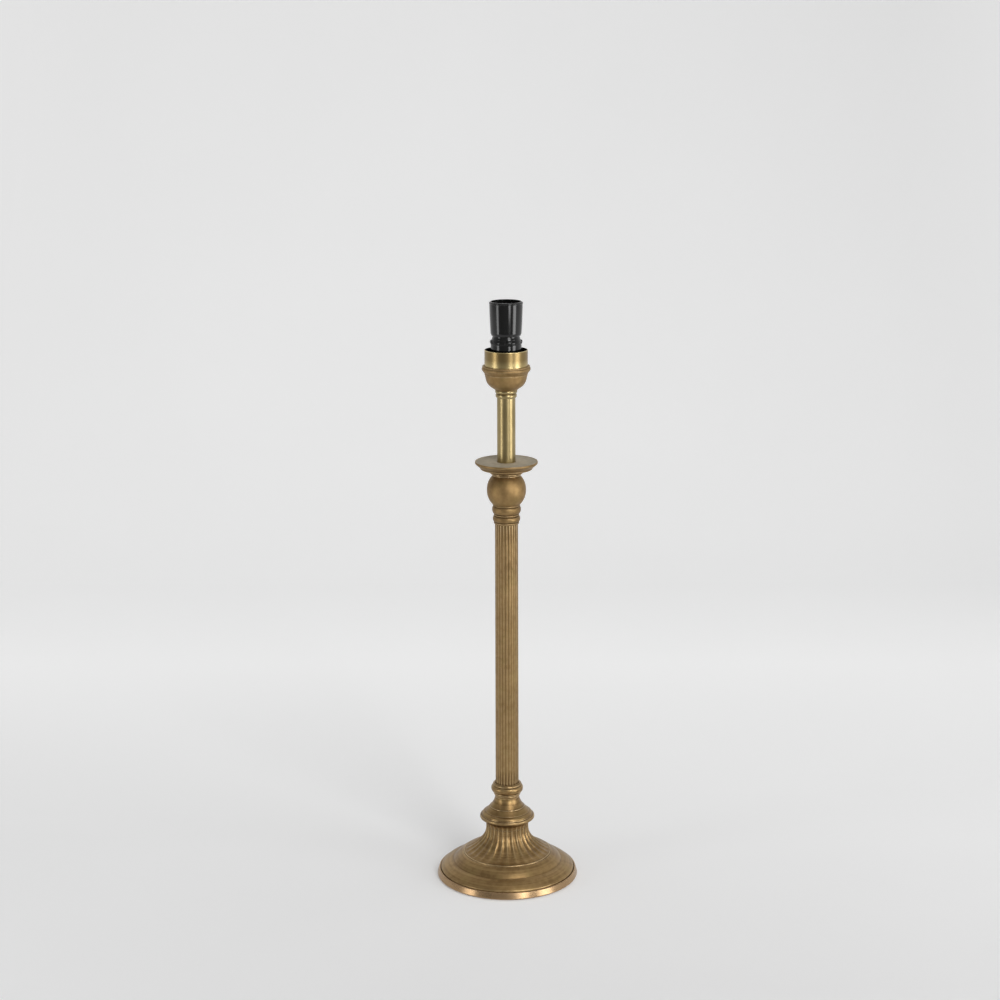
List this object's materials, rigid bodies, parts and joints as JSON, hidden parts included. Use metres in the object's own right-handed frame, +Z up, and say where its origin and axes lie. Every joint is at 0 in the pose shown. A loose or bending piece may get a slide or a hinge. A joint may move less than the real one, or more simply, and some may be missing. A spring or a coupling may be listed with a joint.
{
  "type": "table lamp base",
  "caption": "Aged brass table lamp base: fluted foot, fluted column, ball, drip pan, candle tube and a black screw lampholder in a brass cup.",
  "frame": {"origin": "centre of the felt's underside, on the table", "axes": "+Z up along the lamp's axis, front towards -Y, cable outlet towards +Y"},
  "size_m": [0.153, 0.1528, 0.6308],
  "materials": {
    "cast_brass": "cast, brown patina, rubbed bright on its edges",
    "drawn_brass": "drawn or spun, satin lacquer, lightly aged",
    "plain_brass": "plain turned",
    "holder_plastic": "moulded, semi-gloss black",
    "bush_rubber": "matt black",
    "felt": "dark brown felt",
    "zinc_steel": "zinc plated",
    "weight_iron": "raw casting"
  },
  "bodies": {
    "lamp_body": {"base_foot": "cast_brass", "base_knop": "cast_brass", "column_foot_ring": "cast_brass", "fluted_column": "cast_brass", "capital_beads": "cast_brass", "stem_ball": "cast_brass", "neck_ring": "cast_brass", "drip_pan": "cast_brass", "socket_cup": "cast_brass", "candle_tube": "drawn_brass", "candle_collar": "drawn_brass", "gallery_sleeve": "drawn_brass", "earth_tag": "plain_brass", "lower_nut": "plain_brass", "column_bush_1": "plain_brass", "column_bush_2": "plain_brass", "upper_nut": "plain_brass", "terminal_block_1": "plain_brass", "terminal_block_2": "plain_brass", "contact_foot_1": "plain_brass", "contact_foot_2": "plain_brass", "contact_rivet_1": "plain_brass", "contact_rivet_2": "plain_brass", "holder_cap": "holder_plastic", "holder_core": "holder_plastic", "holder_shell": "holder_plastic", "bottom_plate": "zinc_steel", "plate_screw_1": "zinc_steel", "plate_screw_2": "zinc_steel", "plate_screw_3": "zinc_steel", "lower_washer": "zinc_steel", "centre_rod": "zinc_steel", "upper_washer": "zinc_steel", "cap_lock_screw": "zinc_steel", "terminal_screw_1": "zinc_steel", "terminal_screw_2": "zinc_steel", "cable_bush": "bush_rubber", "base_weight": "weight_iron", "felt_pad": "felt"},
    "centre_spring": {"centre_contact": "plain_brass"},
    "side_spring": {"side_contact": "plain_brass"}
  },
  "joints": [
    {"name": "centre_contact_press", "type": "hinge", "parent": "lamp_body", "child": "centre_spring", "pos_m": [0, -0.0067, 0.6103], "axis": [-1, 0, 0], "range_deg": [0, 10], "stiffness_Nm_per_rad": 0.3},
    {"name": "side_contact_press", "type": "hinge", "parent": "lamp_body", "child": "side_spring", "pos_m": [0, 0.01225, 0.6106], "axis": [-1, 0, 0], "range_deg": [0, 7], "stiffness_Nm_per_rad": 0.3}
  ]
}
